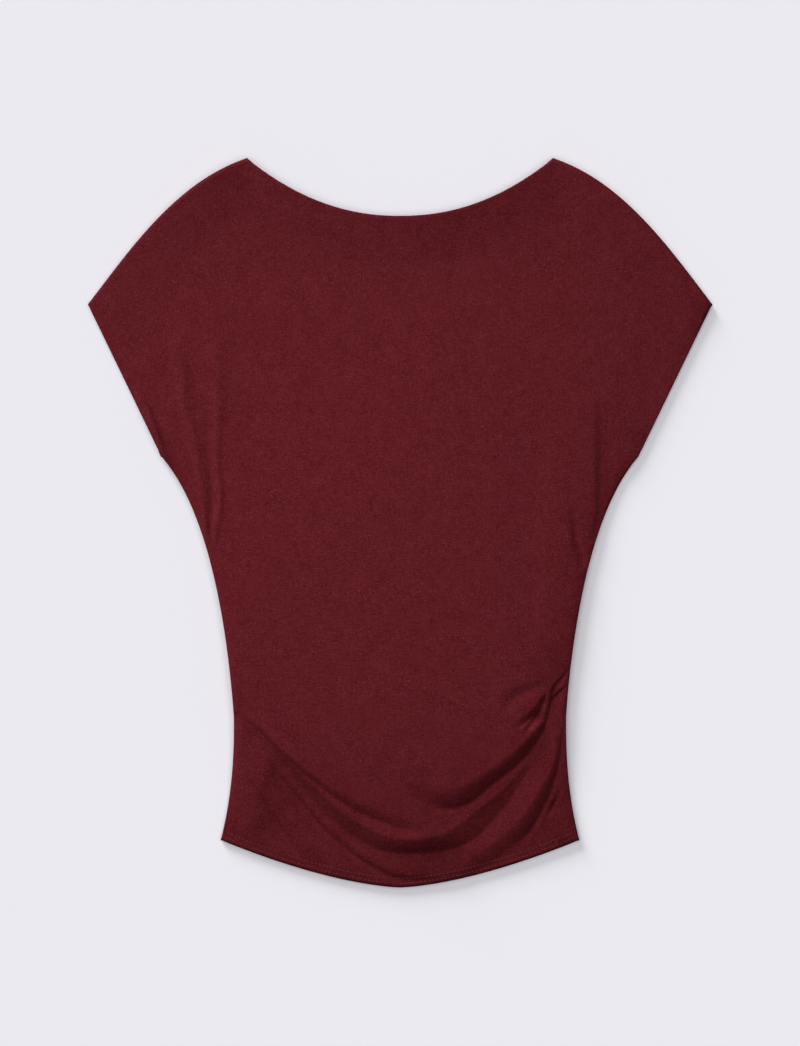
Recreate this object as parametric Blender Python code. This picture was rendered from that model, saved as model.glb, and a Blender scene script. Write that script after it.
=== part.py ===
"""A knit top laid flat on its back, with swags draped across its lower front.

Metres. +X is to the right of the top as it is seen from above, +Y runs from its hem to its neck, and
+Z is up from the surface that its back lies on. The origin is under the middle of the top.
"""

from collections import namedtuple

import bmesh
import bpy
import numpy as np

# Cloth: the wall of one layer, and the space kept between layers that touch
WALL = 0.001
GAP = 0.0003

# Outline, for the right half as it is seen, and the left half mirrors it
NECK_POINT = (0.1377, 0.3282)
FRONT_NECK_DROP = 0.0521
BACK_NECK_DROP = 0.094
NECK_POWER = 2.15
SHOULDER_PULLS = ((0.2011, 0.3072), (0.2425, 0.2476))
SLEEVE_TIP = (0.2814, 0.1967)
UNDERARM = (0.2147, 0.059)
SIDE_PULLS = ((0.1546, -0.1051), (0.1702, 0.0075))
WAIST = (0.1499, -0.1728)
HIP_PULLS = ((0.1526, -0.2487), (0.1494, -0.2105))
HEM_CORNER = (0.162, -0.2853)
HEM_DROP = 0.0429
HEM_POWER = 1.55

# Widths of the edges turned inwards
HEM_TURN = 0.0135
SLEEVE_TURN = 0.011
NECK_TURN = 0.009

# Heights of the front's outer face over the surface
SEAM_TOP = 2 * WALL + GAP
STACK_TOP = 4 * WALL + 4 * GAP
EDGE_FALL = 0.02
FULLNESS = 0.0032
FULLNESS_REACH = 0.02
BACK_NECK_MARK = 0.5

# Where the front lies beyond the back's deeper neck it sinks, over this height past the back's edge
SINK_START = 0.001
SINK_END = 0.013

# The bulge of the body over the swags: its middle, half sizes and height
BULGE_MIDDLE = (0.01, -0.2)
BULGE_REACH = (0.11, 0.07)
BULGE_RISE = 0.0025

# Swags: curves that run left to right. The cloth swells over the side towards the neck and drops to a
# hollow on the side towards the hem. Above and below are how far off the line the top of the swell and
# the bottom of the hollow lie. Starts and ends are the shares of the length that they rise and fade over.
Swag = namedtuple("Swag", "name path swell hollow above below starts ends")
SWAGS = (
    Swag("upper_left", ((-0.143, -0.170), (-0.097, -0.217), (-0.044, -0.271), (0.027, -0.274)),
         0.0035, 0.0032, 0.013, 0.006, 0.2, 0.5),
    Swag("upper_right", ((0.007, -0.229), (0.078, -0.288), (0.126, -0.181), (0.151, -0.131)),
         0.0042, 0.0032, 0.014, 0.007, 0.4, 0.15),
    Swag("main", ((-0.124, -0.194), (-0.066, -0.267), (0.044, -0.356), (0.103, -0.227)),
         0.004, 0.0045, 0.008, 0.010, 0.25, 0.2),
    Swag("low_left", ((-0.112, -0.218), (-0.082, -0.266), (-0.036, -0.322), (0.027, -0.321)),
         0.003, 0.002, 0.010, 0.006, 0.3, 0.35),
    Swag("low_right", ((0.070, -0.310), (0.117, -0.276), (0.143, -0.237), (0.146, -0.179)),
         0.004, 0.003, 0.012, 0.007, 0.35, 0.25),
    Swag("hip", ((-0.133, -0.227), (-0.127, -0.255), (-0.108, -0.285), (-0.084, -0.301)),
         0.0015, 0.0012, 0.010, 0.008, 0.3, 0.4),
)

# Creases: plain ridges, or troughs where the height is negative, each of one width
Crease = namedtuple("Crease", "name path height width starts ends")
CREASES = (
    Crease("left_armpit", ((-0.176, 0.115), (-0.169, 0.066), (-0.164, 0.016), (-0.170, -0.033)),
           -0.0018, 0.006, 0.3, 0.3),
    Crease("left_sleeve", ((-0.198, 0.176), (-0.193, 0.142), (-0.192, 0.107), (-0.181, 0.075)),
           0.0020, 0.010, 0.4, 0.4),
    Crease("right_armpit", ((0.179, 0.124), (0.179, 0.078), (0.178, 0.031), (0.173, -0.015)),
           0.0028, 0.006, 0.3, 0.3),
    Crease("right_side", ((0.153, 0.021), (0.155, -0.002), (0.157, -0.025), (0.166, -0.046)),
           0.0015, 0.005, 0.4, 0.3),
    Crease("gather_upper", ((0.130, -0.142), (0.116, -0.150), (0.101, -0.157), (0.092, -0.171)),
           -0.0020, 0.006, 0.3, 0.5),
    Crease("gather_lower", ((0.130, -0.154), (0.126, -0.165), (0.115, -0.173), (0.106, -0.181)),
           -0.0025, 0.005, 0.3, 0.4),
)

# How finely the cloth is divided: steps between the named rows and columns, and along each curve
SWAG_ROWS = 26
BODY_ROWS = 11
SLEEVE_ROWS = 11
SHOULDER_COLUMNS = 12
NECK_COLUMNS = 18
CURVE_STEPS = 48
SWAG_TOP_SHARE = 0.33

JERSEY_COLOUR = (0.095, 0.0116, 0.0152, 1.0)
JERSEY_ROUGHNESS = 0.9

Outline = namedtuple("Outline", "bottom top left right")
Sheet = namedtuple("Sheet", "places underarm_row neck_column")


def curve(path):
    """Points along the cubic curve between a path's two ends, pulled by its two middle points."""
    start, pull_1, pull_2, end = np.array(path)
    t = np.linspace(0, 1, CURVE_STEPS + 1)[:, None]
    s = 1 - t
    return s**3 * start + 3 * s**2 * t * pull_1 + 3 * s * t**2 * pull_2 + t**3 * end


def mirrored(line):
    """The same line on the other half, running the other way."""
    return line[::-1] * (-1, 1)


def joined(*lines):
    """One line from several that follow each other, with each shared point once."""
    return np.vstack([lines[0], *(line[1:] for line in lines[1:])])


def bowed(half_width, end_height, drop, power):
    """An edge from left to right whose middle is lower than its ends."""
    x = np.linspace(-half_width, half_width, 2 * CURVE_STEPS + 1)
    y = end_height - drop * (1 - np.abs(x / half_width) ** power)
    return np.stack([x, y], axis=1)


def lengths(line):
    """Distance from a line's start to each of its points."""
    return np.concatenate([[0], np.cumsum(np.linalg.norm(np.diff(line, axis=0), axis=1))])


def along(line, share):
    """The points that lie at shares of a line's length."""
    length = lengths(line)
    return np.stack([np.interp(share * length[-1], length, line[:, k]) for k in (0, 1)], axis=-1)


def smooth(value, start, end):
    """0 before start and 1 after end, with a soft turn at both."""
    t = np.clip((value - start) / (end - start), 0, 1)
    return t * t * (3 - 2 * t)


def nearest(places, line):
    """For each place, how far it is from a line, positive on the line's right, and the share along it."""
    starts = line[:-1]
    runs = np.diff(line, axis=0)
    offsets = places[..., None, :] - starts
    part = np.clip((offsets * runs).sum(-1) / (runs**2).sum(-1), 0, 1)
    aside = offsets - part[..., None] * runs
    far = np.linalg.norm(aside, axis=-1)
    best = far.argmin(-1)[..., None]
    turn = runs[:, 0] * aside[..., 1] - runs[:, 1] * aside[..., 0]
    far = np.where(turn > 0, -far, far)
    share = (np.arange(len(runs)) + part) / len(runs)
    return np.take_along_axis(far, best, -1)[..., 0], np.take_along_axis(share, best, -1)[..., 0]


def away(places, *lines):
    """Distance of each place from the nearest of several lines."""
    return np.min([np.abs(nearest(places, line)[0]) for line in lines], axis=0)


def held(share, starts, ends):
    """How strong a fold is at a share of its length: nothing at its ends and all of it between."""
    return smooth(share, 0, starts) * smooth(1 - share, 0, ends)


SHOULDER = curve((NECK_POINT, *SHOULDER_PULLS, SLEEVE_TIP))
SLEEVE_OPENING = np.array([UNDERARM, SLEEVE_TIP])
SIDE_SEAM = joined(curve((HEM_CORNER, *HIP_PULLS, WAIST)), curve((WAIST, *SIDE_PULLS, UNDERARM)))
HEM = bowed(HEM_CORNER[0], HEM_CORNER[1], HEM_DROP, HEM_POWER)
FRONT_NECK = bowed(NECK_POINT[0], NECK_POINT[1], FRONT_NECK_DROP, NECK_POWER)
BACK_NECK = bowed(NECK_POINT[0], NECK_POINT[1], BACK_NECK_DROP, NECK_POWER)


def outline(neck):
    """The four edges of a panel: hem, shoulders with the neck between, and each side with its sleeve."""
    side = joined(SIDE_SEAM, SLEEVE_OPENING)
    return Outline(HEM, joined(mirrored(SHOULDER), neck, SHOULDER), side * (-1, 1), side)


def patch(edges, across, up):
    """Points of the sheet that fills four edges, at shares of the way across and up it."""
    u = across[..., None]
    v = up[..., None]
    between = (1 - v) * along(edges.bottom, across) + v * along(edges.top, across)
    between = between + (1 - u) * along(edges.left, up) + u * along(edges.right, up)
    lower = (1 - u) * edges.bottom[0] + u * edges.bottom[-1]
    upper = (1 - u) * edges.top[0] + u * edges.top[-1]
    return between - (1 - v) * lower - v * upper


def shares(stops, counts):
    """Shares from the first stop to the last, with a count of even steps between stops."""
    runs = [np.linspace(a, b, n + 1)[1:] for a, b, n in zip(stops, stops[1:], counts)]
    return np.concatenate([stops[:1], *runs])


def spans(edges, u, v):
    """The length of each row from side to side, and of each column from hem to top."""
    row = np.linalg.norm(patch(edges, np.ones_like(v), v) - patch(edges, np.zeros_like(v), v), axis=1)
    column = np.linalg.norm(patch(edges, u, np.ones_like(u)) - patch(edges, u, np.zeros_like(u)), axis=1)
    return row, column


def lay_out(edges):
    """A panel's points in rows and columns. The second row or column from a turned edge lies at its turn."""
    top = lengths(edges.top)[-1]
    side = lengths(edges.right)[-1]
    neck = lengths(SHOULDER)[-1] / top
    underarm = lengths(SIDE_SEAM)[-1] / side
    sleeve_turn = SLEEVE_TURN / top
    hem_turn = HEM_TURN / side
    neck_turn = NECK_TURN / side
    column_stops = (0, sleeve_turn, neck, 1 - neck, 1 - sleeve_turn, 1)
    row_stops = (0, hem_turn, SWAG_TOP_SHARE, underarm, 1 - neck_turn, 1)
    u = shares(column_stops, (1, SHOULDER_COLUMNS, NECK_COLUMNS, SHOULDER_COLUMNS, 1))
    v = shares(row_stops, (1, SWAG_ROWS, BODY_ROWS, SLEEVE_ROWS, 1))
    rows, columns = spans(edges, u, v)
    across = [
        np.interp(u, column_stops, (0, SLEEVE_TURN / row, neck, 1 - neck, 1 - SLEEVE_TURN / row, 1))
        for row in rows
    ]
    up = [
        np.interp(v, row_stops, (0, HEM_TURN / column, SWAG_TOP_SHARE, underarm, 1 - NECK_TURN / column, 1))
        for column in columns
    ]
    places = patch(edges, np.array(across), np.array(up).T)
    return Sheet(places, 1 + SWAG_ROWS + BODY_ROWS, 1 + SHOULDER_COLUMNS)


def swag_height(places, swag):
    """A swell on the upper side of the line and a hollow on its lower side."""
    side, share = nearest(places, curve(swag.path))
    reach = np.where(side < 0, swag.above, swag.below)
    size = np.where(side < 0, swag.swell, swag.hollow)
    ratio = side / reach
    return -size * ratio * np.exp(0.5 * (1 - ratio**2)) * held(share, swag.starts, swag.ends)


def crease_height(places, crease):
    """One ridge or trough, highest on its line."""
    side, share = nearest(places, curve(crease.path))
    return crease.height * np.exp(-((side / crease.width) ** 2)) * held(share, crease.starts, crease.ends)


def turned_band(places, turn, *lines):
    """1 over an edge that is turned inwards, falling to 0 beyond it."""
    return 1 - smooth(away(places, *lines), turn, turn + EDGE_FALL)


def front_height(places):
    """Height of the front's outer face over the surface."""
    seams = (SHOULDER, mirrored(SHOULDER), SIDE_SEAM, mirrored(SIDE_SEAM))
    openings = (SLEEVE_OPENING, mirrored(SLEEVE_OPENING))
    past_back = np.interp(places[..., 0], BACK_NECK[:, 0], BACK_NECK[:, 1])
    sunk = smooth(places[..., 1] - past_back, SINK_START, SINK_END)
    sunk = sunk * (np.abs(places[..., 0]) < NECK_POINT[0])
    neck_band = turned_band(places, NECK_TURN, FRONT_NECK) * (1 - sunk)
    back_band = turned_band(places, NECK_TURN, BACK_NECK) * BACK_NECK_MARK
    bands = [turned_band(places, HEM_TURN, HEM), turned_band(places, SLEEVE_TURN, *openings)]
    lowest = SEAM_TOP + (STACK_TOP - SEAM_TOP) * np.max([*bands, neck_band, back_band], axis=0)
    lowest = lowest + GAP * sunk
    inward = away(places, *seams, *openings, HEM, FRONT_NECK)
    height = lowest + FULLNESS * (1 - np.exp(-inward / FULLNESS_REACH))
    off_middle = (places - BULGE_MIDDLE) / BULGE_REACH
    rise = BULGE_RISE * np.exp(-(off_middle**2).sum(-1))
    rise = rise + sum(swag_height(places, swag) for swag in SWAGS)
    rise = rise + sum(crease_height(places, crease) for crease in CREASES)
    return np.maximum(height + rise, lowest)


def jersey(name):
    """A dull knitted finish in the top's dark red."""
    material = bpy.data.materials.new(name + "_jersey")
    material.use_nodes = True
    shader = material.node_tree.nodes["Principled BSDF"]
    shader.inputs["Base Color"].default_value = JERSEY_COLOUR
    shader.inputs["Roughness"].default_value = JERSEY_ROUGHNESS
    shader.inputs["Metallic"].default_value = 0.0
    material.diffuse_color = JERSEY_COLOUR
    return material


def sheet_mesh(name, points, faces_up):
    """A thin sheet through rows and columns of points, and its normal at each of them."""
    form = bmesh.new()
    corners = [[form.verts.new(point) for point in row] for row in points]
    for lower, upper in zip(corners, corners[1:]):
        for a, b, c, d in zip(lower, lower[1:], upper[1:], upper):
            form.faces.new((a, b, c))
            form.faces.new((a, c, d))
    if not faces_up:
        bmesh.ops.reverse_faces(form, faces=form.faces)
    form.normal_update()
    normals = np.array([[tuple(corner.normal) for corner in row] for row in corners])
    mesh = bpy.data.meshes.new(name)
    form.to_mesh(mesh)
    form.free()
    return mesh, normals


def make_cloth(name, points, faces_up):
    """A wall of cloth whose outer face runs through the points, and that face's normals."""
    mesh, normals = sheet_mesh(name, points, faces_up)
    mesh.materials.append(jersey(name))
    mesh.shade_smooth()
    cloth = bpy.data.objects.new(name, mesh)
    bpy.context.collection.objects.link(cloth)
    wall = cloth.modifiers.new("wall", "SOLIDIFY")
    wall.thickness = WALL
    wall.offset = -1.0
    return normals


def make_panel(side, sheet, heights, faces_up):
    """One side of the top, with the strips of it that are turned inwards at the hem, sleeves and neck."""
    points = np.concatenate([sheet.places, heights[..., None]], axis=-1)
    normals = make_cloth(side + "_panel", points, faces_up)
    inside = points - normals * (WALL + GAP)
    sleeve = slice(sheet.underarm_row, None)
    neck = slice(sheet.neck_column, -sheet.neck_column)
    strips = {
        "hem": inside[:2],
        "neck": inside[-2:, neck],
        "left_sleeve": inside[sleeve, :2],
        "right_sleeve": inside[sleeve, -2:],
    }
    for place, strip in strips.items():
        make_cloth(f"{side}_{place}_turnup", strip, faces_up)


def clear_scene():
    for thing in list(bpy.data.objects):
        bpy.data.objects.remove(thing)


def main():
    clear_scene()
    front = lay_out(outline(FRONT_NECK))
    make_panel("front", front, front_height(front.places), faces_up=True)
    back = lay_out(outline(BACK_NECK))
    make_panel("back", back, np.zeros(back.places.shape[:2]), faces_up=False)


main()
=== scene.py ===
"""The looks of a knitted top laid flat on its back: its draped cloth, folded edges, sewing and finish.

Metres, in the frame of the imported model: +X is to the right of the top as it is seen, +Y runs from its
hem to its neck, and the surface that it lies on is at height 0.
"""

import math
from collections import namedtuple

import bpy
import numpy as np
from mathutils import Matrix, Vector, noise


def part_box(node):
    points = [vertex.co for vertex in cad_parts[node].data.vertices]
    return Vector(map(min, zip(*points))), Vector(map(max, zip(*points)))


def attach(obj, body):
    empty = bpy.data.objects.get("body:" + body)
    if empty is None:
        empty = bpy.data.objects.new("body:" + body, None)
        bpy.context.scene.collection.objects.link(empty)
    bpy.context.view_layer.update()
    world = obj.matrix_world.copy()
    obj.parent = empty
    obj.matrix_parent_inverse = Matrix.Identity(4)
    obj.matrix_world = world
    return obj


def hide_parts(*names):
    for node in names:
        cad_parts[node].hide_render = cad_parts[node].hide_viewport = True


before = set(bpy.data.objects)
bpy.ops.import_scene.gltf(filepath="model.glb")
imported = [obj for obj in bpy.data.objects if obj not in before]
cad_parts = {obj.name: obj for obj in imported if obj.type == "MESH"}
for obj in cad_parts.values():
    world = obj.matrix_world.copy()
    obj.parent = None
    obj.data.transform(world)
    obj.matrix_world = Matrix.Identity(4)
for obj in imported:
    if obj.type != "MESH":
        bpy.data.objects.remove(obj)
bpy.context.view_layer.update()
FRONT_LOW, FRONT_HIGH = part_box("front_panel")
BACK_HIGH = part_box("back_panel")[1]

# Cloth: its thickness as it is drawn, a layer of the solids and the gap over it, and how high the
# front's face lies at a seam and at a doubled edge
JERSEY = 0.0007
LAYER = BACK_HIGH.z
GAP = 0.0003
SEAM_TOP = 2 * LAYER + GAP
STACK_TOP = 4 * LAYER + 4 * GAP

# Edges: how high their middle lies along a seam and at a seam's ends, half the gap between the panels
# there, how deep a turned edge folds, how round it is, how far it is drawn in, how far from a seam it
# takes its full form, and how far from an opening a seam does
SEAM_MIDDLE = 0.00115
CORNER_MIDDLE = 0.0025
SEAM_HALF_GAP = 0.0001
FOLD_DEPTH = 0.00245
BACK_FOLD_DEPTH = 0.0023
EDGE_RADIUS = 0.0008
EDGE_INSET = 0.0007
CORNER_REACH = 0.010
CORNER_SPREAD = 0.025

# Outline of the right half as it is seen, which the left half mirrors
NECK_POINT = (0.1377, FRONT_HIGH.y)
FRONT_NECK_DROP = 0.0521
BACK_NECK_DROP = 0.094
NECK_POWER = 2.15
SHOULDER_PULLS = ((0.2011, 0.3072), (0.2425, 0.2476))
SLEEVE_TIP = (FRONT_HIGH.x, 0.1967)
UNDERARM = (0.2147, 0.059)
SIDE_PULLS = ((0.1546, -0.1051), (0.1702, 0.0075))
WAIST = (0.1499, -0.1728)
HIP_PULLS = ((0.1526, -0.2487), (0.1494, -0.2105))
HEM_CORNER = (0.162, -0.2853)
HEM_DROP = HEM_CORNER[1] - FRONT_LOW.y
HEM_POWER = 1.55

# Widths of the edges turned inwards
HEM_TURN = 0.0135
SLEEVE_TURN = 0.011
NECK_TURN = 0.009

# Rows of stitches, by how far they run from the hem's edge, and how much the back's own rows lift it
HEM_ROWS = (0.0045, 0.0088)
STITCH_PITCH = 0.0036
STITCH_LENGTH = 0.0027
STITCH_RADIUS = 0.00024
STITCH_SIDES = 6
STITCH_STEPS = 5
STITCH_SEED = 0.5
STITCH_LIFT = 0.0003

# Form of a stitch in radii of its thread: its arch, how far its ends dip, the least and the most that
# it sinks into the cloth, and how thick its ends are
STITCH_ARCH = 1.4
STITCH_DIP = 0.4
STITCH_SINK = (0.2, 1.1)
STITCH_END = 0.5

# How far past a doubled edge and past the doubled hem their lift of the front wears off, how much of
# such a lift the back's neck edge gives, and the stretch above that edge over which the front sinks, as
# no back lies under it
EDGE_FALL = 0.02
HEM_FALL = 0.06
BACK_NECK_MARK = 0.35
SINK_START = 0.001
SINK_END = 0.013

# Body of the top over its lowest possible height: its fullness, the roll of its edges, the bulge low on
# it, and how softly it comes to lie on the layers beneath it
FULLNESS = 0.0019
FULLNESS_REACH = 0.028
EDGE_ROLL = 0.0018
EDGE_ROLL_REACH = 0.0028
BULGE_MIDDLE = (0.01, -0.2)
BULGE_REACH = (0.12, 0.08)
BULGE_RISE = 0.0012
LAY_SOFTNESS = 0.0008

# Lift of the cloth towards the neck and the shoulders, which starts and widens from left to right
TOP_LIFT = 0.0056
TOP_LIFT_REACH = (0.048, 0.095)
TOP_LIFT_WIDENS = (0.05, 0.20)
TOP_LIFT_STARTS = (-0.28, -0.15)
TOP_LIFT_BEND = 1.25

# Fall of the right sleeve towards its opening
SLEEVE_FALL = 0.0028
SLEEVE_FALL_REACH = (0.15, 0.26)

# Rise of the body above the swags: where it starts at their foot and ends towards the neck, and how
# much less it is near the right side seam
PLATEAU_RISE = 0.0105
PLATEAU_EDGE = (-0.080, 0.030)
PLATEAU_TOP = (-0.25, 0.27)
PLATEAU_RIGHT_FALL = 0.2
PLATEAU_RIGHT_REACH = 0.055

# Folds, in millimetres, along the foot of each: those of the swags run left to right, and the two at
# the right armpit and side upwards. At a station the cloth drops to the foot down a face, on the left
# of the way that the fold runs, so on the neck's side of a swag, and it rises again up a tail. A face
# of roundness over 1 turns over softly at its top, and one under 1 sharply.
MM = 0.001
Fold = namedtuple("Fold", "x y drop face roundness tail")
FOLDS = {
    "upper_left": (
        (-143, -170, 0.0, 2.5, 1.4, 2.5),
        (-125, -188, 2.4, 3.4, 1.3, 2.5),
        (-101, -212, 3.2, 4.2, 1.3, 3.0),
        (-68, -239, 3.8, 6.0, 1.4, 3.5),
        (-50, -252, 3.5, 8.5, 1.6, 4.5),
        (-31, -262, 3.8, 10.0, 1.6, 6.0),
        (0, -273, 2.1, 10.0, 1.6, 9.0),
        (27, -277, 0.0, 10.0, 1.6, 10.0),
    ),
    "main": (
        (-136, -184, 0.0, 2.5, 1.2, 8.0),
        (-122, -196, 0.6, 3.0, 1.2, 8.0),
        (-109, -210, 2.0, 4.0, 1.0, 8.0),
        (-100, -220, 3.6, 5.5, 0.9, 8.0),
        (-82, -243, 5.8, 9.5, 0.9, 8.0),
        (-62, -265, 6.4, 10.5, 0.9, 8.0),
        (-39, -283, 6.4, 13.0, 0.9, 14.0),
        (-15, -294, 7.0, 14.0, 1.2, 18.0),
        (15, -296, 7.4, 13.5, 1.4, 18.0),
        (42, -293, 7.4, 16.0, 1.3, 18.0),
        (63, -286, 7.2, 19.0, 1.1, 18.0),
        (82, -269, 6.6, 18.0, 1.0, 14.0),
        (98, -249, 4.8, 12.0, 1.0, 10.0),
        (109, -231, 2.6, 7.0, 1.0, 7.0),
        (117, -217, 0.0, 4.0, 1.0, 5.0),
    ),
    "upper_right": (
        (8, -233, 0.0, 12.0, 1.6, 10.0),
        (29, -252, 3.4, 16.0, 1.5, 8.0),
        (48, -256, 6.2, 19.0, 1.6, 4.0),
        (65, -250, 7.2, 18.0, 1.6, 3.0),
        (81, -236, 6.8, 14.0, 1.5, 2.5),
        (98, -223, 6.4, 12.0, 1.4, 3.0),
        (115, -207, 6.0, 11.0, 1.3, 4.0),
        (128, -187, 4.4, 7.0, 1.3, 5.0),
        (134, -168, 3.2, 4.5, 1.3, 3.0),
        (138, -148, 2.0, 3.0, 1.3, 2.5),
        (144, -141, 1.5, 2.5, 1.3, 2.5),
        (151, -132, 0.4, 2.5, 1.3, 2.5),
    ),
    "low_left": (
        (-123, -204, 0.0, 3.0, 1.4, 3.0),
        (-115, -216, 0.6, 3.0, 1.4, 3.0),
        (-107, -228, 1.5, 3.5, 1.4, 3.5),
        (-91, -247, 2.6, 3.5, 1.4, 3.5),
        (-68, -275, 3.0, 3.5, 1.4, 4.0),
        (-40, -299, 2.9, 3.5, 1.4, 4.0),
        (-10, -317, 2.8, 5.0, 1.5, 5.0),
        (10, -321, 2.8, 6.0, 1.5, 6.0),
        (34, -321, 0.6, 8.0, 1.5, 8.0),
    ),
    "low_right": (
        (55, -319, 0.0, 12.0, 1.4, 8.0),
        (74, -312, 2.8, 16.0, 1.3, 7.0),
        (91, -304, 4.9, 18.0, 1.3, 7.0),
        (109, -286, 5.2, 17.0, 1.4, 6.0),
        (120, -272, 5.2, 15.0, 1.5, 5.0),
        (128, -257, 5.2, 13.0, 1.5, 5.0),
        (135, -241, 4.8, 10.0, 1.5, 4.5),
        (140, -226, 4.0, 6.5, 1.4, 3.0),
        (144, -207, 2.5, 5.0, 1.4, 3.0),
        (147, -180, 0.0, 4.0, 1.4, 3.0),
    ),
    "hip": (
        (-139, -222, 0.0, 3.0, 1.3, 6.0),
        (-127, -242, 1.8, 4.0, 1.3, 6.0),
        (-115, -262, 2.8, 4.0, 1.3, 6.0),
        (-104, -280, 3.4, 4.0, 1.3, 6.0),
        (-93, -298, 1.6, 4.0, 1.3, 6.0),
    ),
    "corner": (
        (129, -269, 0.0, 4.0, 1.5, 4.0),
        (138, -253, 1.8, 4.0, 1.5, 4.0),
        (146, -236, 0.0, 4.0, 1.5, 4.0),
    ),
    "right_armpit": (
        (171, -18, 0.0, 3.0, 1.0, 2.0),
        (176, -3, 1.2, 3.0, 0.8, 2.0),
        (179, 12, 1.7, 3.0, 0.7, 2.0),
        (179, 39, 2.0, 3.0, 0.7, 2.0),
        (179, 66, 1.8, 3.0, 0.7, 2.0),
        (179, 93, 1.4, 3.0, 0.7, 2.0),
        (179, 122, 0.0, 4.0, 1.0, 2.0),
    ),
    "right_side": (
        (169, -50, 0.0, 3.0, 1.0, 2.0),
        (163, -36, 2.0, 3.0, 0.8, 2.0),
        (158, -20, 2.4, 3.0, 0.8, 2.0),
        (156, -4, 1.6, 3.0, 0.8, 2.0),
        (154, 16, 0.0, 4.0, 1.0, 2.0),
    ),
    "tuck": (
        (134, -162, 0.0, 2.0, 1.3, 2.0),
        (138, -157, 2.1, 2.2, 1.3, 2.0),
        (144, -151, 2.0, 2.2, 1.3, 2.0),
        (149, -146, 0.6, 2.0, 1.3, 2.0),
    ),
    "gather_upper": (
        (104, -184, 0.0, 6.0, 1.3, 3.0),
        (114, -177, 2.6, 6.0, 1.3, 3.0),
        (123, -170, 4.1, 6.0, 1.3, 3.0),
        (129, -159, 2.7, 4.0, 1.3, 2.0),
        (131, -153, 0.0, 2.0, 1.3, 2.0),
    ),
    "gather_lower": (
        (112, -189, 0.0, 4.0, 1.3, 3.0),
        (117, -181, 2.4, 4.5, 1.3, 3.0),
        (123, -173, 3.3, 4.0, 1.3, 3.0),
        (128, -164, 0.0, 2.0, 1.3, 2.0),
    ),
}

# The share of a fold's drop that lasts beyond its foot, and over how many millimetres it wears off
Step = namedtuple("Step", "share reach")
STEPS = {
    "upper_left": Step(0.7, 60),
    "main": Step(0.92, 120),
    "upper_right": Step(0.8, 60),
    "low_left": Step(0.35, 25),
    "low_right": Step(0.8, 60),
    "hip": Step(0.35, 20),
    "corner": Step(0.5, 20),
    "right_armpit": Step(0.8, 45),
    "right_side": Step(0.6, 20),
    "tuck": Step(0.5, 10),
    "gather_upper": Step(0.7, 12),
    "gather_lower": Step(0.7, 12),
}

# How round a tail is, how much sooner the lasting drop wears off where a fold is shallow, and how
# sharply folds that meet are blended
TAIL_ROUNDNESS = 2.0
KEPT_POWER = 1.6
FOLD_BLEND = 3

# Creases, in millimetres: a ridge along a line, or a trough where its height is negative, and how far
# its sides reach to the left and to the right of the way it runs. The back's two swags run left to
# right, and all the other creases upwards.
Crease = namedtuple("Crease", "x y height left right")
CREASES = {
    "left_outer": (
        (-171, -23, 0.0, 2.0, 2.0),
        (-174, -6, 1.2, 2.5, 2.0),
        (-176, 16, 0.8, 3.0, 2.0),
        (-180, 48, 1.2, 3.5, 2.5),
        (-184, 75, 1.4, 4.0, 3.0),
        (-191, 100, 1.6, 6.0, 4.0),
        (-195, 124, 1.8, 8.0, 5.0),
        (-198, 156, 1.0, 8.0, 7.0),
        (-201, 183, 0.0, 8.0, 8.0),
    ),
    "left_inner": (
        (-169, -23, 0.0, 2.5, 2.5),
        (-165, -4, 1.4, 2.5, 2.5),
        (-161, 23, 1.3, 3.0, 2.5),
        (-164, 52, 1.4, 2.5, 2.5),
        (-164, 84, 1.2, 3.0, 3.5),
        (-163, 124, 1.1, 6.0, 6.0),
        (-166, 147, 1.0, 7.0, 7.0),
        (-167, 183, 0.0, 8.0, 8.0),
    ),
    "left_armpit": (
        (-169, -24, 0.0, 2.0, 2.0),
        (-170, -2, -1.3, 2.5, 4.0),
        (-169, 21, -1.8, 2.5, 5.0),
        (-171, 48, -1.3, 3.0, 5.0),
        (-173, 75, -1.0, 3.0, 4.0),
        (-174, 97, 0.0, 3.0, 4.0),
    ),
    "left_lip": (
        (-202, 36, 0.0, 3.0, 1.6),
        (-208, 53, 2.6, 4.0, 1.6),
        (-213, 65, 3.3, 6.0, 1.6),
        (-217, 79, 3.8, 8.0, 1.6),
        (-222, 92, 3.8, 9.0, 1.8),
        (-230, 108, 2.6, 9.0, 2.5),
        (-242, 124, 0.0, 9.0, 4.0),
    ),
    "gather_hollow": (
        (92, -171, 0.0, 6.0, 6.0),
        (101, -157, -1.3, 6.0, 6.0),
        (116, -150, -1.5, 5.0, 5.0),
        (130, -144, 0.0, 3.0, 3.0),
    ),
    "right_long": (
        (112, -120, 0.0, 16.0, 10.0),
        (116, -70, -1.0, 20.0, 14.0),
        (117, -10, -1.3, 22.0, 14.0),
        (119, 50, -1.0, 22.0, 14.0),
        (124, 95, 0.0, 20.0, 14.0),
    ),
    "shoulder_tuck": (
        (269, 211, 0.0, 2.0, 2.0),
        (263, 216, -1.1, 2.2, 2.2),
        (259, 220, -1.3, 2.2, 2.2),
        (255, 224, 0.0, 2.0, 2.0),
    ),
}
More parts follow.
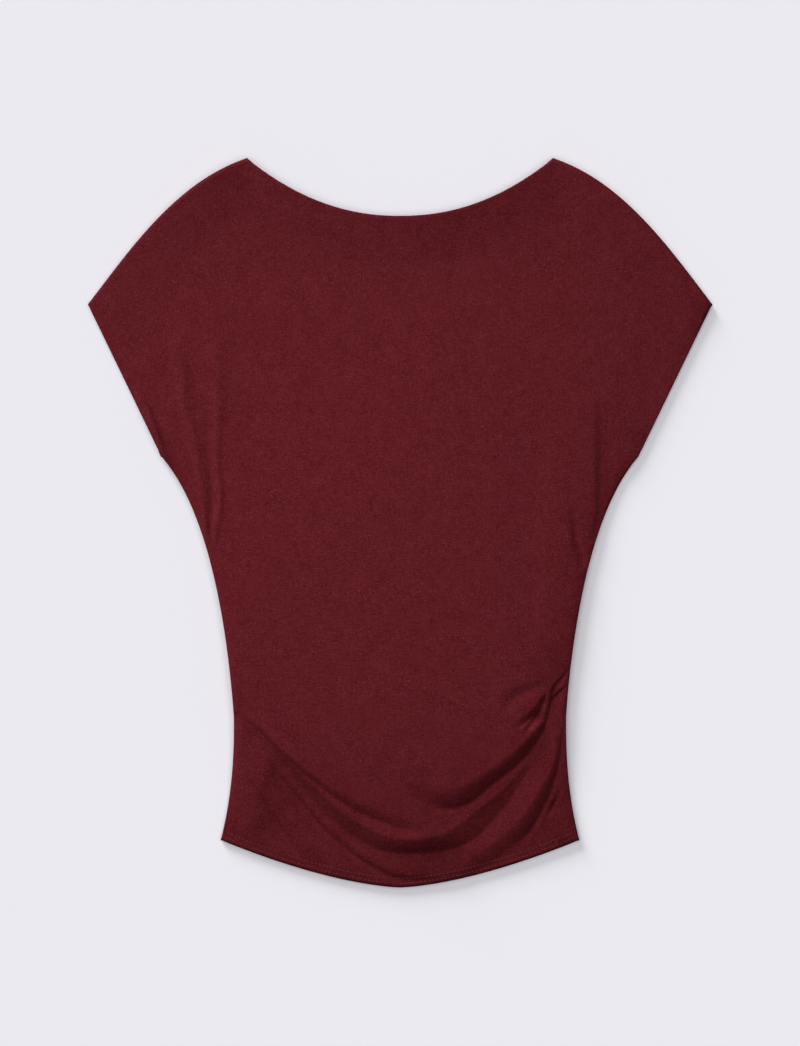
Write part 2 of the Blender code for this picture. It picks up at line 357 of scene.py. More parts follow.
BACK_CREASES = {
    "low_swag": (
        (-118, -172, 0.0, 6.0, 9.0),
        (-84, -214, 1.0, 6.0, 9.0),
        (-38, -250, 1.4, 7.0, 11.0),
        (14, -264, 1.5, 8.0, 12.0),
        (62, -248, 1.4, 7.0, 10.0),
        (98, -208, 1.0, 5.0, 8.0),
        (121, -160, 0.0, 4.0, 6.0),
    ),
    "high_swag": (
        (-62, -176, 0.0, 6.0, 9.0),
        (-20, -207, 0.9, 7.0, 10.0),
        (32, -213, 1.2, 7.0, 10.0),
        (80, -184, 1.1, 6.0, 8.0),
        (114, -142, 0.0, 4.0, 6.0),
    ),
    "left_side": (
        (-131, -104, 0.0, 4.0, 4.0),
        (-134, -48, 0.8, 4.0, 5.0),
        (-147, 20, 1.0, 5.0, 6.0),
        (-168, 96, 0.8, 6.0, 8.0),
        (-186, 158, 0.0, 8.0, 8.0),
    ),
    "right_side": (
        (133, -88, 0.0, 4.0, 4.0),
        (139, -30, 0.9, 5.0, 4.0),
        (155, 44, 1.1, 6.0, 5.0),
        (176, 120, 0.7, 8.0, 6.0),
        (190, 176, 0.0, 8.0, 8.0),
    ),
}

# How far from the back's edges its creases start, and how far from its line a crease is worked out
BACK_CREASE_START = (0.004, 0.018)
CREASE_REACH = 0.060

# How finely folds, cloth and edges are divided: the rows of the swags end at a share of the side's
# length, and the columns of the side at a share of the width
SPLINE_STEPS = 8
SWAG_ROWS = 140
BODY_ROWS = 44
SLEEVE_ROWS = 36
SIDE_COLUMNS = 46
SHOULDER_COLUMNS = 26
NECK_COLUMNS = 46
SIDE_SHARE = 0.16
BACK_COARSENESS = 2
CURVE_STEPS = 48
SWAG_TOP_SHARE = 0.33
ROUND_STEPS = 4
TURN_STEPS = 4

# Slow unevenness of the cloth over the surface
Ripple = namedtuple("Ripple", "height across up seed")
RIPPLES = (Ripple(0.0005, 0.11, 0.16, 3.7), Ripple(0.00014, 0.030, 0.055, 11.2))

# Knitted surface: the sizes of its patches along each axis, their shares in its shade, and where and
# how sharply its pale fibres show
FLECK_SIZE = (0.0013, 0.0009, 0.0013)
YARN_SIZE = (0.0060, 0.0009, 0.0060)
RIB_SIZE = (0.0009, 0.0050, 0.0009)
TONE_SIZE = (0.012, 0.015, 0.012)
PALE_SIZE = (0.0014, 0.0010, 0.0014)
LOOP_SIZE = (0.0011, 0.0011, 0.0011)
FLECK_SHARE = 0.48
YARN_SHARE = 0.24
RIB_SHARE = 0.14
TONE_SHARE = 0.14
SHADE_MIDDLE = 0.5
SHADE_CONTRAST = 3.4
PALE_START = 0.68
PALE_SHARPNESS = 6.0
LOOP_SHARE = 0.25
STRAND_SIZE = (0.0004, 0.0002, 0.0004)

# Colours, as red, green, blue and opacity
JERSEY_DARK = (0.0605, 0.0028, 0.0046, 1.0)
JERSEY_LIGHT = (0.1150, 0.0142, 0.0196, 1.0)
JERSEY_PALE = (0.1330, 0.0255, 0.0320, 1.0)
JERSEY_SHEEN = (0.8, 0.25, 0.3, 1.0)
# The thread's colours are lighter than the jersey's as a painted highlight for the light that its
# stitches catch; the mix between them follows its strands
THREAD_DARK = (0.105, 0.011, 0.016, 1.0)
THREAD_LIGHT = (0.165, 0.035, 0.043, 1.0)
SKY_COLOUR = (1.0, 1.0, 1.0, 1.0)
FLOOR_COLOUR = (0.80, 0.79, 0.84, 1.0)

# Sockets of a Mix node set to colours: its factor, its two colours, and the output of the mixed one
MIX_FACTOR = 0
MIX_FIRST = 6
MIX_SECOND = 7
MIX_RESULT = 2

# Camera, lights and floor
CAMERA_HEIGHT = 2.615
CAMERA_LENS = 100.0
Softbox = namedtuple("Softbox", "azimuth elevation distance size power")
CLOTH_LIGHTS = {
    "left_softbox": Softbox(132, 16, 12.0, 6.8, 2430),
    "top_softbox": Softbox(85, 26, 12.0, 6.8, 370),
    "overhead_softbox": Softbox(130, 76, 0.85, 0.45, 3.95),
}
Sunlight = namedtuple("Sunlight", "azimuth elevation spread strength")
FLOOR_LIGHTS = {
    "floor_softbox": Sunlight(122, 20, 28, 3.05),
    "floor_fill": Sunlight(0, 90, 70, 1.90),
}
SUN_DISTANCE = 1.0
SKY_STRENGTH = 0.10
FLOOR_HALF = 30.0
FLOOR_DROP = 0.0002

# A panel's four edges, and its points in rows, with the row and the column where its openings start
Outline = namedtuple("Outline", "bottom top left right")
Sheet = namedtuple("Sheet", "places underarm_row neck_column")


def curve(path):
    """Points along the cubic curve between a path's two ends, pulled by its two middle points."""
    start, pull_1, pull_2, end = np.array(path)
    t = np.linspace(0, 1, CURVE_STEPS + 1)[:, None]
    s = 1 - t
    return s**3 * start + 3 * s**2 * t * pull_1 + 3 * s * t**2 * pull_2 + t**3 * end


def mirrored(line):
    """The same line on the other half, running the other way."""
    return line[::-1] * (-1, 1)


def joined(*lines):
    """One line from several that follow each other, with each shared point once."""
    return np.vstack([lines[0], *(line[1:] for line in lines[1:])])


def bowed(half_width, end_height, drop, power):
    """An edge from left to right whose middle is lower than its ends."""
    x = np.linspace(-half_width, half_width, 2 * CURVE_STEPS + 1)
    y = end_height - drop * (1 - np.abs(x / half_width) ** power)
    return np.stack([x, y], axis=1)


def lengths(line):
    """Distance from a line's start to each of its points."""
    return np.concatenate([[0], np.cumsum(np.linalg.norm(np.diff(line, axis=0), axis=1))])


def left_of(runs):
    """The way to the left of each run of a line, of length 1."""
    left = np.stack([-runs[..., 1], runs[..., 0]], axis=-1)
    return left / np.linalg.norm(left, axis=-1, keepdims=True)


def along(line, share):
    """The points that lie at shares of a line's length."""
    length = lengths(line)
    return np.stack([np.interp(share * length[-1], length, line[:, k]) for k in (0, 1)], axis=-1)


def smooth(value, start, end):
    """0 before start and 1 after end, with a soft turn at both."""
    t = np.clip((value - start) / (end - start), 0, 1)
    return t * t * (3 - 2 * t)


def nearest(places, line):
    """For each place, how far it is from a line, positive on its right, and the share along it."""
    starts = line[:-1]
    runs = np.diff(line, axis=0)
    offsets = places[..., None, :] - starts
    part = np.clip((offsets * runs).sum(-1) / (runs**2).sum(-1), 0, 1)
    aside = offsets - part[..., None] * runs
    far = np.linalg.norm(aside, axis=-1)
    best = far.argmin(-1)[..., None]
    turn = runs[:, 0] * aside[..., 1] - runs[:, 1] * aside[..., 0]
    far = np.where(turn > 0, -far, far)
    share = (np.arange(len(runs)) + part) / len(runs)
    return np.take_along_axis(far, best, -1)[..., 0], np.take_along_axis(share, best, -1)[..., 0]


def away(places, *lines):
    """Distance of each place from the nearest of several lines."""
    return np.min([np.abs(nearest(places, line)[0]) for line in lines], axis=0)


SHOULDER = curve((NECK_POINT, *SHOULDER_PULLS, SLEEVE_TIP))
SLEEVE_OPENING = along(np.array([UNDERARM, SLEEVE_TIP]), np.linspace(0, 1, CURVE_STEPS + 1))
SIDE_SEAM = joined(curve((HEM_CORNER, *HIP_PULLS, WAIST)), curve((WAIST, *SIDE_PULLS, UNDERARM)))
HEM = bowed(HEM_CORNER[0], HEM_CORNER[1], HEM_DROP, HEM_POWER)
FRONT_NECK = bowed(NECK_POINT[0], NECK_POINT[1], FRONT_NECK_DROP, NECK_POWER)
BACK_NECK = bowed(NECK_POINT[0], NECK_POINT[1], BACK_NECK_DROP, NECK_POWER)
SEAMS = (SHOULDER, mirrored(SHOULDER), SIDE_SEAM, mirrored(SIDE_SEAM))
SLEEVE_OPENINGS = (SLEEVE_OPENING, mirrored(SLEEVE_OPENING))


def outline(neck):
    """A panel's four edges: hem, shoulders with the neck between, and each side with its sleeve."""
    side = joined(SIDE_SEAM, SLEEVE_OPENING)
    return Outline(HEM, joined(mirrored(SHOULDER), neck, SHOULDER), side * (-1, 1), side)


def patch(edges, across, up):
    """Points of the sheet that fills four edges, at shares of the way across and up it."""
    u = across[..., None]
    v = up[..., None]
    between = (1 - v) * along(edges.bottom, across) + v * along(edges.top, across)
    between = between + (1 - u) * along(edges.left, up) + u * along(edges.right, up)
    lower = (1 - u) * edges.bottom[0] + u * edges.bottom[-1]
    upper = (1 - u) * edges.top[0] + u * edges.top[-1]
    return between - (1 - v) * lower - v * upper


def shares(stops, counts):
    """Shares from the first stop to the last, with a count of even steps between stops."""
    runs = [np.linspace(a, b, n + 1)[1:] for a, b, n in zip(stops, stops[1:], counts)]
    return np.concatenate([stops[:1], *runs])


def lay_out(edges, coarseness):
    """A panel's points in rows and columns."""
    neck = lengths(SHOULDER)[-1] / lengths(edges.top)[-1]
    underarm = lengths(SIDE_SEAM)[-1] / lengths(edges.right)[-1]
    columns = (SIDE_COLUMNS, SHOULDER_COLUMNS, NECK_COLUMNS, SHOULDER_COLUMNS, SIDE_COLUMNS)
    rows = (SWAG_ROWS, BODY_ROWS, SLEEVE_ROWS)
    u = shares((0, SIDE_SHARE, neck, 1 - neck, 1 - SIDE_SHARE, 1), [n // coarseness for n in columns])
    v = shares((0, SWAG_TOP_SHARE, underarm, 1), [n // coarseness for n in rows])
    across, up = np.meshgrid(u, v)
    underarm_row = (SWAG_ROWS // coarseness) + (BODY_ROWS // coarseness)
    neck_column = (SIDE_COLUMNS // coarseness) + (SHOULDER_COLUMNS // coarseness)
    return Sheet(patch(edges, across, up), underarm_row, neck_column)


def spline(points):
    """A smooth line through points, with even steps between each two."""
    ends = np.vstack([2 * points[0] - points[1], points, 2 * points[-1] - points[-2]])
    before, here, there, after = ends[:-3, None], ends[1:-2, None], ends[2:-1, None], ends[3:, None]
    t = (np.arange(SPLINE_STEPS) / SPLINE_STEPS)[:, None]
    runs = 2 * here + (there - before) * t + (2 * before - 5 * here + 4 * there - after) * t**2
    runs = (runs + (3 * here - before - 3 * there + after) * t**3) / 2
    return np.vstack([runs.reshape(-1, 2), points[-1:]])


def beside(places, kind, stations):
    """How many millimetres each place is to the right of a line of stations, and the station there."""
    table = np.array(stations, float)
    side, share = nearest(places, spline(table[:, :2]) * MM)
    at = share * (len(table) - 1)
    return side / MM, kind(*(np.interp(at, np.arange(len(table)), column) for column in table.T))


def fold_drop(places, stations, step):
    """How far one fold lowers the cloth beyond its foot, and how far on its face and on its tail."""
    side, fold = beside(places, Fold, stations)
    above = fold.drop * np.clip(1 + side / fold.face, 0, 1) ** fold.roundness
    below = fold.drop * (1 - step.share) * np.clip(1 - side / fold.tail, 0, 1) ** TAIL_ROUNDNESS
    deepest = max(Fold(*station).drop for station in stations)
    reach = np.maximum(step.reach * (fold.drop / deepest) ** KEPT_POWER, fold.tail)
    kept = fold.drop * step.share * (1 - smooth(side, 0, reach)) * (side >= 0)
    return MM * kept, MM * np.where(side < 0, above, below)


def crease_rise(places, stations):
    """How far one crease lifts the cloth at each place, or lowers it where it is a trough."""
    line = np.array(stations, float)[:, :2] * MM
    near = ((places > line.min(0) - CREASE_REACH) & (places < line.max(0) + CREASE_REACH)).all(-1)
    side, crease = beside(places[near], Crease, stations)
    reach = np.where(side < 0, crease.left, crease.right)
    rises = np.zeros(places.shape[:-1])
    rises[near] = MM * crease.height * np.exp(-((side / reach) ** 2))
    return rises


def ripple_height(places, ripple):
    """Slow random swells."""
    flat = places.reshape(-1, 2) / (ripple.across, ripple.up)
    values = [noise.noise(Vector((x, y, ripple.seed))) for x, y in flat]
    return ripple.height * np.array(values).reshape(places.shape[:-1])


def turned_band(places, turn, fall, *lines):
    """1 over an edge that is turned inwards, falling to 0 beyond it."""
    return 1 - smooth(away(places, *lines), turn, turn + fall)


def lowest_height(places):
    """The lowest that the front's outer face can lie over the layers beneath it."""
    past_back = np.interp(places[..., 0], BACK_NECK[:, 0], BACK_NECK[:, 1])
    sunk = smooth(places[..., 1] - past_back, SINK_START, SINK_END)
    sunk = sunk * (np.abs(places[..., 0]) < NECK_POINT[0])
    neck_band = turned_band(places, NECK_TURN, EDGE_FALL, FRONT_NECK) * (1 - sunk)
    back_band = turned_band(places, NECK_TURN, EDGE_FALL, BACK_NECK) * BACK_NECK_MARK
    hem_band = turned_band(places, HEM_TURN, HEM_FALL, HEM)
    sleeve_band = turned_band(places, SLEEVE_TURN, EDGE_FALL, *SLEEVE_OPENINGS)
    rise = np.max([hem_band, sleeve_band, neck_band, back_band], axis=0)
    return SEAM_TOP + (STACK_TOP - SEAM_TOP) * rise + GAP * sunk


def swag_foot():
    """The line along the foot of the swags, from one side of the top to the other."""
    feet = [np.array(FOLDS[name], float)[:, :2] for name in ("low_left", "low_right")]
    start = np.array([FOLDS["upper_left"][0][:2]], float)
    end = np.array([FOLDS["upper_right"][-1][:2]], float)
    return np.vstack([start, *feet, end]) * MM


def plateau_height(places):
    """The rise of the body where the folds of the swags lie under it, which ends at their foot."""
    foot = swag_foot()
    above = places[..., 1] > np.interp(places[..., 0], foot[:, 0], foot[:, 1])
    inside = np.where(above, 1, -1) * away(places, foot)
    right_fall = PLATEAU_RIGHT_FALL * (1 - smooth(away(places, SIDE_SEAM), 0, PLATEAU_RIGHT_REACH))
    rise = PLATEAU_RISE * (1 - right_fall) * (1 - smooth(places[..., 1], *PLATEAU_TOP))
    return rise * smooth(inside, *PLATEAU_EDGE)


def top_lift(places):
    """The rise of the cloth towards the neck and the shoulders, which reaches farther on the right."""
    widening = smooth(places[..., 0], *TOP_LIFT_WIDENS)
    reach = TOP_LIFT_REACH[0] + (TOP_LIFT_REACH[1] - TOP_LIFT_REACH[0]) * widening
    near = np.clip(1 - away(places, FRONT_NECK, SHOULDER, mirrored(SHOULDER)) / reach, 0, 1)
    return TOP_LIFT * near**TOP_LIFT_BEND * smooth(places[..., 0], *TOP_LIFT_STARTS)


def front_height(places):
    """Height of the front's outer face: its body, folds, creases and swells over the layers beneath."""
    lowest = lowest_height(places)
    inward = away(places, SIDE_SEAM, mirrored(SIDE_SEAM), *SLEEVE_OPENINGS, HEM)
    full = 1 - np.exp(-inward / FULLNESS_REACH)
    off_middle = (places - BULGE_MIDDLE) / BULGE_REACH
    rise = FULLNESS * full + BULGE_RISE * np.exp(-(off_middle**2).sum(-1)) + plateau_height(places)
    rise = rise + EDGE_ROLL * (1 - np.exp(-inward / EDGE_ROLL_REACH)) + top_lift(places)
    rise = rise - SLEEVE_FALL * smooth(places[..., 0], *SLEEVE_FALL_REACH)
    drops = [fold_drop(places, fold, STEPS[name]) for name, fold in FOLDS.items()]
    blended = sum(more**FOLD_BLEND for _, more in drops) ** (1 / FOLD_BLEND)
    rise = rise - sum(kept for kept, _ in drops) - blended
    rise = rise + sum(crease_rise(places, crease) for crease in CREASES.values())
    rise = rise + full * sum(ripple_height(places, ripple) for ripple in RIPPLES)
    over = SEAM_TOP + rise - lowest
    return lowest + (over + np.sqrt(over**2 + LAY_SOFTNESS**2)) / 2


def back_height(places):
    """Height of the back's outer face, which its creases and the stitches on its hem lift a little."""
    inward = away(places, *SEAMS, *SLEEVE_OPENINGS, HEM, BACK_NECK)
    lifts = sum(crease_rise(places, crease) for crease in BACK_CREASES.values())
    hem_lift = STITCH_LIFT * turned_band(places, HEM_TURN, EDGE_FALL, HEM)
    return hem_lift + lifts * smooth(inward, *BACK_CREASE_START)


def rim_of(grid):
    """The points round the edge of a grid, anticlockwise from its lower left corner."""
    return np.concatenate([grid[0, :-1], grid[:-1, -1], grid[-1, :0:-1], grid[:0:-1, 0]])


def rim_is_open(sheet):
    """Which points of the rim lie on an edge that is turned inwards, where the others lie on a seam."""
    rows, columns = sheet.places.shape[:2]
    marks = np.zeros((rows, columns), bool)
    marks[0] = True
    marks[sheet.underarm_row :, [0, -1]] = True
    marks[-1, sheet.neck_column : columns - sheet.neck_column] = True
    return rim_of(marks)


def rim_normals(rim):
    """The way out of the sheet at each point of its rim."""
    runs = np.roll(rim, -1, axis=0) - rim
    runs = runs / np.linalg.norm(runs, axis=1, keepdims=True)
    turn = runs + np.roll(runs, 1, axis=0)
    out = np.stack([turn[:, 1], -turn[:, 0]], axis=1)
    return out / np.linalg.norm(out, axis=1, keepdims=True)


def rim_rings(sheet, height, fold_depth, seam_offset, turns):
    """Rings of points that carry a sheet's edge round its folds and down to its seams.

    The first ring is the sheet's own rim, drawn in. The next ones go round to the seam line, or on
    turned edges to the folded side, and the last ones run inwards to the end of the turned strip.
    """
    rim = rim_of(sheet.places)
    out = rim_normals(rim)
    outer = height(rim)
    off_opening = away(rim, HEM, *SLEEVE_OPENINGS, FRONT_NECK, BACK_NECK)
    off_seam = away(rim, *SEAMS)
    seam = CORNER_MIDDLE + (SEAM_MIDDLE - CORNER_MIDDLE) * smooth(off_opening, 0, CORNER_SPREAD)
    seam = seam + seam_offset
    folded = smooth(off_seam, 0, CORNER_REACH) * rim_is_open(sheet)
    middle = seam + (outer + fold_depth / 2 - seam) * folded
    inner = outer + fold_depth
    drawn_in = rim - out * (EDGE_RADIUS + EDGE_INSET)
    rings = []
    for step in range(2 * ROUND_STEPS + 1):
        angle = math.pi / 2 * step / ROUND_STEPS
        end = outer if step < ROUND_STEPS else inner
        level = middle + (end - middle) * abs(math.cos(angle))
        rings.append(np.column_stack([drawn_in + out * EDGE_RADIUS * math.sin(angle), level]))
    for step in range(1, TURN_STEPS + 1):
        strip = drawn_in - out * (turns * step / TURN_STEPS)[:, None]
        rings.append(np.column_stack([strip, height(strip) + fold_depth]))
    return rings


def turn_widths(sheet):
    """How far the turned strip reaches inwards from each point of the rim."""
    rows, columns = sheet.places.shape[:2]
    widths = np.full((rows, columns), SLEEVE_TURN)
    widths[0] = HEM_TURN
    widths[-1, sheet.neck_column : columns - sheet.neck_column] = NECK_TURN
    return rim_of(widths) - EDGE_RADIUS


def cloth_faces(sheet):
    """The faces of a grid of points followed by its rings, with every side facing up at the middle."""
    rows, columns = sheet.places.shape[:2]
    numbers = np.arange(rows * columns).reshape(rows, columns)
    faces = np.stack([numbers[:-1, :-1], numbers[:-1, 1:], numbers[1:, 1:], numbers[1:, :-1]], axis=-1)
    faces = faces.reshape(-1, 4).tolist()
    ring = rim_of(numbers)
    is_open = rim_is_open(sheet)
    first = rows * columns
    for step in range(1, 2 * ROUND_STEPS + TURN_STEPS + 1):
        following = first + np.arange(len(ring))
        first = first + len(ring)
        here = np.ones(len(ring), bool) if step <= ROUND_STEPS else is_open & np.roll(is_open, -1)
        strip = np.stack([ring, following, np.roll(following, -1), np.roll(ring, -1)], axis=1)
        faces += strip[here].tolist()
        ring = following
    return faces


def make_object(name, points, faces):
    """A smooth mesh object, with the points that no face uses left out."""
    used = np.unique(np.concatenate([np.ravel(face) for face in faces]))
    place = np.full(len(points), -1)
    place[used] = np.arange(len(used))
    mesh = bpy.data.meshes.new(name)
    mesh.from_pydata(points[used].tolist(), [], [[int(place[k]) for k in face] for face in faces])
    mesh.shade_smooth()
    mesh.update()
    thing = bpy.data.objects.new(name, mesh)
    bpy.context.scene.collection.objects.link(thing)
    return thing


def make_cloth(name, sheet, height, fold_depth, seam_offset, finish):
    """One panel of jersey with its turned edges: a thin shell on the form of its solid."""
    points = np.concatenate([sheet.places, height(sheet.places)[..., None]], axis=-1)
    rings = rim_rings(sheet, height, fold_depth, seam_offset, turn_widths(sheet))
    rows, columns = sheet.places.shape[:2]
    numbers = rim_of(np.arange(rows * columns).reshape(rows, columns))
    flat = points.reshape(-1, 3)
    flat[numbers] = rings[0]
    faces = cloth_faces(sheet)
    if fold_depth > 0:
        faces = [face[::-1] for face in faces]
    cloth = make_object(name, np.concatenate([flat, *rings[1:]]), faces)
    cloth.data.materials.append(finish)
    wall = cloth.modifiers.new("layer", "SOLIDIFY")
    wall.thickness = JERSEY
    wall.offset = -1.0
    return cloth


def stitch_row(inset, height, outward):
    """Short tubes of thread in a row along the hem, which dip into the cloth at both ends."""
    line = HEM + inset * left_of(np.gradient(HEM, axis=0))
    count = int(lengths(line)[-1] / STITCH_PITCH)
    part = np.linspace(0, 1, STITCH_STEPS + 1)
    first = np.arange(1, count - 1)[:, None]
    places = along(line, (first + part * STITCH_LENGTH / STITCH_PITCH) / count)
    aside = left_of(np.gradient(places, axis=1))
    spots = [Vector((k, inset / STITCH_RADIUS, STITCH_SEED)) for k in range(len(places))]
    sunk = np.array([abs(noise.noise(spot)) for spot in spots])[:, None]
    sunk = STITCH_SINK[0] + (STITCH_SINK[1] - STITCH_SINK[0]) * sunk
    arch = np.sin(math.pi * part)
    level = height(places) + outward * STITCH_RADIUS * (STITCH_ARCH * arch - STITCH_DIP - sunk)
    angle = math.tau * np.arange(STITCH_SIDES) / STITCH_SIDES
    radius = STITCH_RADIUS * (STITCH_END + (1 - STITCH_END) * arch)[:, None]
    level = level[..., None] + radius * np.sin(angle)
    flat = places[:, :, None] + aside[:, :, None] * (radius * np.cos(angle))[..., None]
    return np.concatenate([flat, level[..., None]], axis=-1)


def make_stitches(name, height, outward, finish):
    """Both rows of stitches along one panel's hem."""
    tubes = np.concatenate([stitch_row(inset, height, outward) for inset in HEM_ROWS])
    numbers = np.arange(tubes[..., 0].size).reshape(tubes.shape[:3])
    turned = np.roll(numbers, -1, axis=2)
    sides = np.stack([numbers[:, :-1], turned[:, :-1], turned[:, 1:], numbers[:, 1:]], axis=-1)
    ends = [*numbers[:, 0, ::-1].tolist(), *numbers[:, -1].tolist()]
    stitches = make_object(name, tubes.reshape(-1, 3), sides.reshape(-1, 4).tolist() + ends)
    stitches.data.materials.append(finish)
    return stitches


class Value:
    """A number that varies over a surface. Arithmetic on it adds Math nodes to its finish."""

    def __init__(self, finish, socket):
        self.finish = finish
        self.socket = socket

    def math(self, operation, first, second):
        return self.finish.node("ShaderNodeMath", {"operation": operation}, {0: first, 1: second})

    def __add__(self, other):
        return self.math("ADD", self, other)

    def __sub__(self, other):
        return self.math("SUBTRACT", self, other)

    def __rsub__(self, other):
        return self.math("SUBTRACT", other, self)

    def __mul__(self, other):
        return self.math("MULTIPLY", self, other)

    __radd__ = __add__
    __rmul__ = __mul__


class Finish:
    """One material, and its nodes."""

    def __init__(self, name):
        self.material = bpy.data.materials.new(name)
        self.material.use_nodes = True
        self.nodes = self.material.node_tree.nodes
        self.links = self.material.node_tree.links
        self.shader = self.nodes["Principled BSDF"]

    def set(self, socket, value):
        """Gives a socket a value, or a link where the value is one that varies."""
        if isinstance(value, Value):
            self.links.new(value.socket, socket)
        else:
            socket.default_value = value

    def node(self, kind, settings, sockets, output=0):
        """Adds a node of any kind: its settings first, then the values or links of its sockets."""
        node = self.nodes.new(kind)
        for key, value in settings.items():
            setattr(node, key, value)
        for key, value in sockets.items():
            self.set(node.inputs[key], value)
        return Value(self, node.outputs[output])

    def stretched(self, size):
        """The place on the object, counted in steps of a size along each axis."""
        place = self.node("ShaderNodeTexCoord", {}, {}, output="Object")
        steps = tuple(1 / length for length in size)
        return self.node("ShaderNodeVectorMath", {"operation": "MULTIPLY"}, {0: place, 1: steps})

    def grain(self, size, detail=0.0, roughness=0.5):
        """Smooth random values from 0 to 1 in patches of a size."""
        place = self.stretched(size)
        sockets = {"Vector": place, "Scale": 1.0, "Detail": detail, "Roughness": roughness}
        return self.node("ShaderNodeTexNoise", {}, sockets)

    def mixed(self, factor, first, second):
        """A colour between two."""
        settings = {"data_type": "RGBA", "clamp_factor": True}
        sockets = {MIX_FACTOR: factor, MIX_FIRST: first, MIX_SECOND: second}
        return self.node("ShaderNodeMix", settings, sockets, output=MIX_RESULT)


def jersey():
    """Fine mixed-yarn jersey: flecks along the rows of knitting, a few pale fibres and small loops."""
    finish = Finish("burgundy_jersey")
    fleck = finish.grain(FLECK_SIZE, detail=1.0, roughness=0.8)
    yarn = finish.grain(YARN_SIZE, detail=1.0)
    rib = finish.grain(RIB_SIZE)
    tone = finish.grain(TONE_SIZE, detail=3.0)
    shade = fleck * FLECK_SHARE + yarn * YARN_SHARE + rib * RIB_SHARE + tone * TONE_SHARE
    factor = (shade - SHADE_MIDDLE) * SHADE_CONTRAST + SHADE_MIDDLE
    pale_fibre = (finish.grain(PALE_SIZE) - PALE_START) * PALE_SHARPNESS
    colour = finish.mixed(pale_fibre, finish.mixed(factor, JERSEY_DARK, JERSEY_LIGHT), JERSEY_PALE)
    finish.set(finish.shader.inputs["Base Color"], colour)
    across = finish.node("ShaderNodeSeparateXYZ", {}, {0: finish.stretched(LOOP_SIZE)})
    loops = finish.node("ShaderNodeMath", {"operation": "SINE"}, {0: across * math.tau})
    height = loops * LOOP_SHARE + fleck
    bump = finish.node("ShaderNodeBump", {}, {"Height": height, "Distance": 0.0002, "Strength": 0.4})
    finish.set(finish.shader.inputs["Normal"], bump)
    finish.shader.inputs["Roughness"].default_value = 0.85
    finish.shader.inputs["Specular IOR Level"].default_value = 0.04
    finish.shader.inputs["Sheen Weight"].default_value = 0.02
    finish.shader.inputs["Sheen Roughness"].default_value = 0.4
    finish.shader.inputs["Sheen Tint"].default_value = JERSEY_SHEEN
    return finish.material


def thread():
    """Sewing thread twisted from fine strands, painted a shade lighter than the jersey as a highlight
    for the light that the stitches catch.
    """
    finish = Finish("burgundy_thread")
    strands = finish.grain(STRAND_SIZE, detail=1.0)
    finish.set(finish.shader.inputs["Base Color"], finish.mixed(strands, THREAD_DARK, THREAD_LIGHT))
    bump = finish.node("ShaderNodeBump", {}, {"Height": strands, "Distance": 0.0001, "Strength": 0.6})
    finish.set(finish.shader.inputs["Normal"], bump)
    finish.shader.inputs["Roughness"].default_value = 0.6
    finish.shader.inputs["Specular IOR Level"].default_value = 0.25
    return finish.material


def lay_cloth():
    """Both panels with their stitches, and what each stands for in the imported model."""
    cloth = jersey()
    front_sheet = lay_out(outline(FRONT_NECK), 1)
    front = make_cloth("front_cloth", front_sheet, front_height, -FOLD_DEPTH, SEAM_HALF_GAP, cloth)
    back_sheet = lay_out(outline(BACK_NECK), BACK_COARSENESS)
    back = make_cloth("back_cloth", back_sheet, back_height, BACK_FOLD_DEPTH, -SEAM_HALF_GAP, cloth)
    sewing = thread()
    front_stitches = make_stitches("front_stitches", front_height, 1, sewing)
    back_stitches = make_stitches("back_stitches", back_height, -1, sewing)
    for side, piece, stitches in (("front", front, front_stitches), ("back", back, back_stitches)):
        turned = [f"{side}_{place}_turnup" for place in ("hem", "neck", "left_sleeve", "right_sleeve")]
        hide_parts(f"{side}_panel", *turned)
        for part in (piece, stitches):
            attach(part, "root")
    return [front, back, front_stitches, back_stitches]


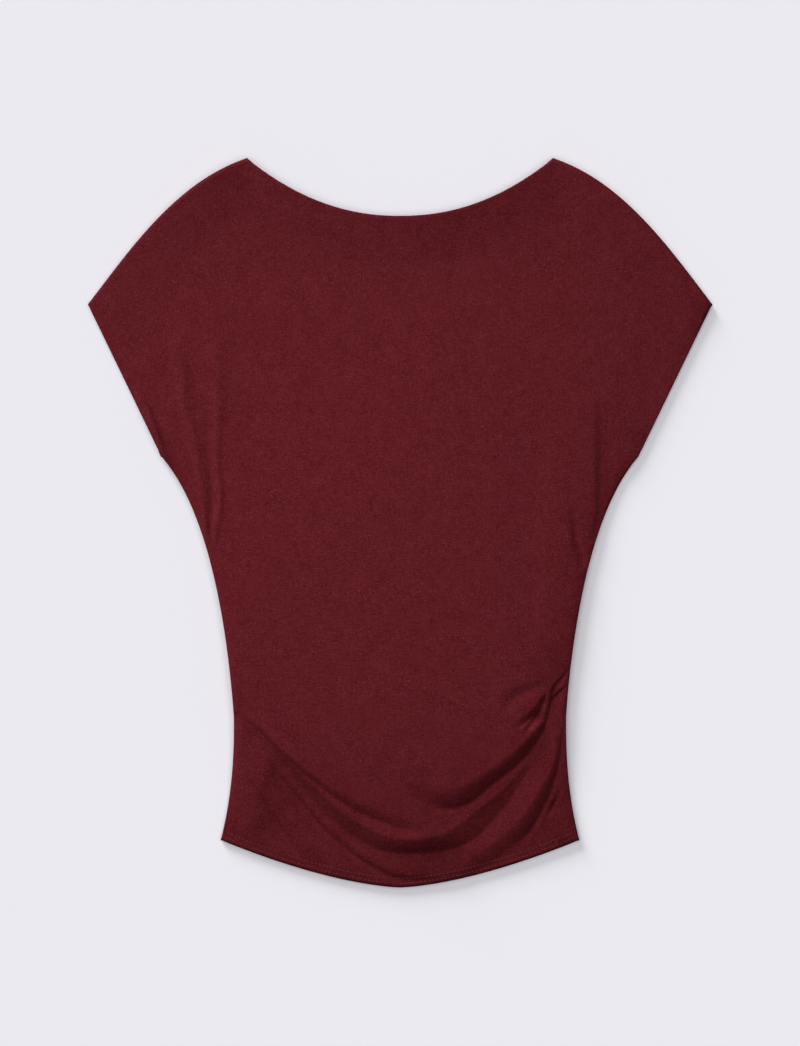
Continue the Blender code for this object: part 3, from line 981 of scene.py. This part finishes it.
def make_floor():
    """A plain pale surface."""
    finish = Finish("pale_surface")
    finish.shader.inputs["Base Color"].default_value = FLOOR_COLOUR
    finish.shader.inputs["Roughness"].default_value = 0.95
    finish.shader.inputs["Specular IOR Level"].default_value = 0.0
    corners = FLOOR_HALF * np.array([(-1, -1, 0), (1, -1, 0), (1, 1, 0), (-1, 1, 0)])
    floor = make_object("floor", corners - (0, 0, FLOOR_DROP), [(0, 1, 2, 3)])
    floor.data.materials.append(finish.material)
    return floor


def hang(lamp, light, distance, lit):
    """A lamp that shines on the middle of the top from one side, and lights only some things."""
    azimuth, elevation = math.radians(light.azimuth), math.radians(light.elevation)
    level = math.cos(elevation)
    aim = Vector((level * math.cos(azimuth), level * math.sin(azimuth), math.sin(elevation)))
    thing = bpy.data.objects.new(lamp.name, lamp)
    thing.location = aim * distance
    thing.rotation_euler = aim.to_track_quat("Z", "Y").to_euler()
    thing.visible_camera = False
    bpy.context.scene.collection.objects.link(thing)
    receivers = bpy.data.collections.new(f"lit_by_{lamp.name}")
    for piece in lit:
        receivers.objects.link(piece)
    thing.light_linking.receiver_collection = receivers


def light_studio(cloth, floor):
    """Softboxes for the cloth, an even light for the floor that it lies on, and a faint even sky."""
    for name, softbox in CLOTH_LIGHTS.items():
        lamp = bpy.data.lights.new(name, "AREA")
        lamp.energy = softbox.power
        lamp.size = softbox.size
        hang(lamp, softbox, softbox.distance, cloth)
    for name, sunlight in FLOOR_LIGHTS.items():
        lamp = bpy.data.lights.new(name, "SUN")
        lamp.energy = sunlight.strength
        lamp.angle = math.radians(sunlight.spread)
        hang(lamp, sunlight, SUN_DISTANCE, [floor])
    world = bpy.data.worlds.new("studio")
    world.use_nodes = True
    sky = world.node_tree.nodes["Background"]
    sky.inputs["Color"].default_value = SKY_COLOUR
    sky.inputs["Strength"].default_value = SKY_STRENGTH
    bpy.context.scene.world = world
    bpy.context.scene.view_settings.view_transform = "Standard"


def place_camera():
    """Straight above the middle of the top, with its neck at the top of the picture."""
    lens = bpy.data.cameras.new("camera")
    lens.lens = CAMERA_LENS
    camera = bpy.data.objects.new("camera", lens)
    camera.location = (0, 0, CAMERA_HEIGHT)
    bpy.context.scene.collection.objects.link(camera)
    bpy.context.scene.camera = camera


def main():
    place_camera()
    floor = make_floor()
    light_studio(lay_cloth(), floor)


main()
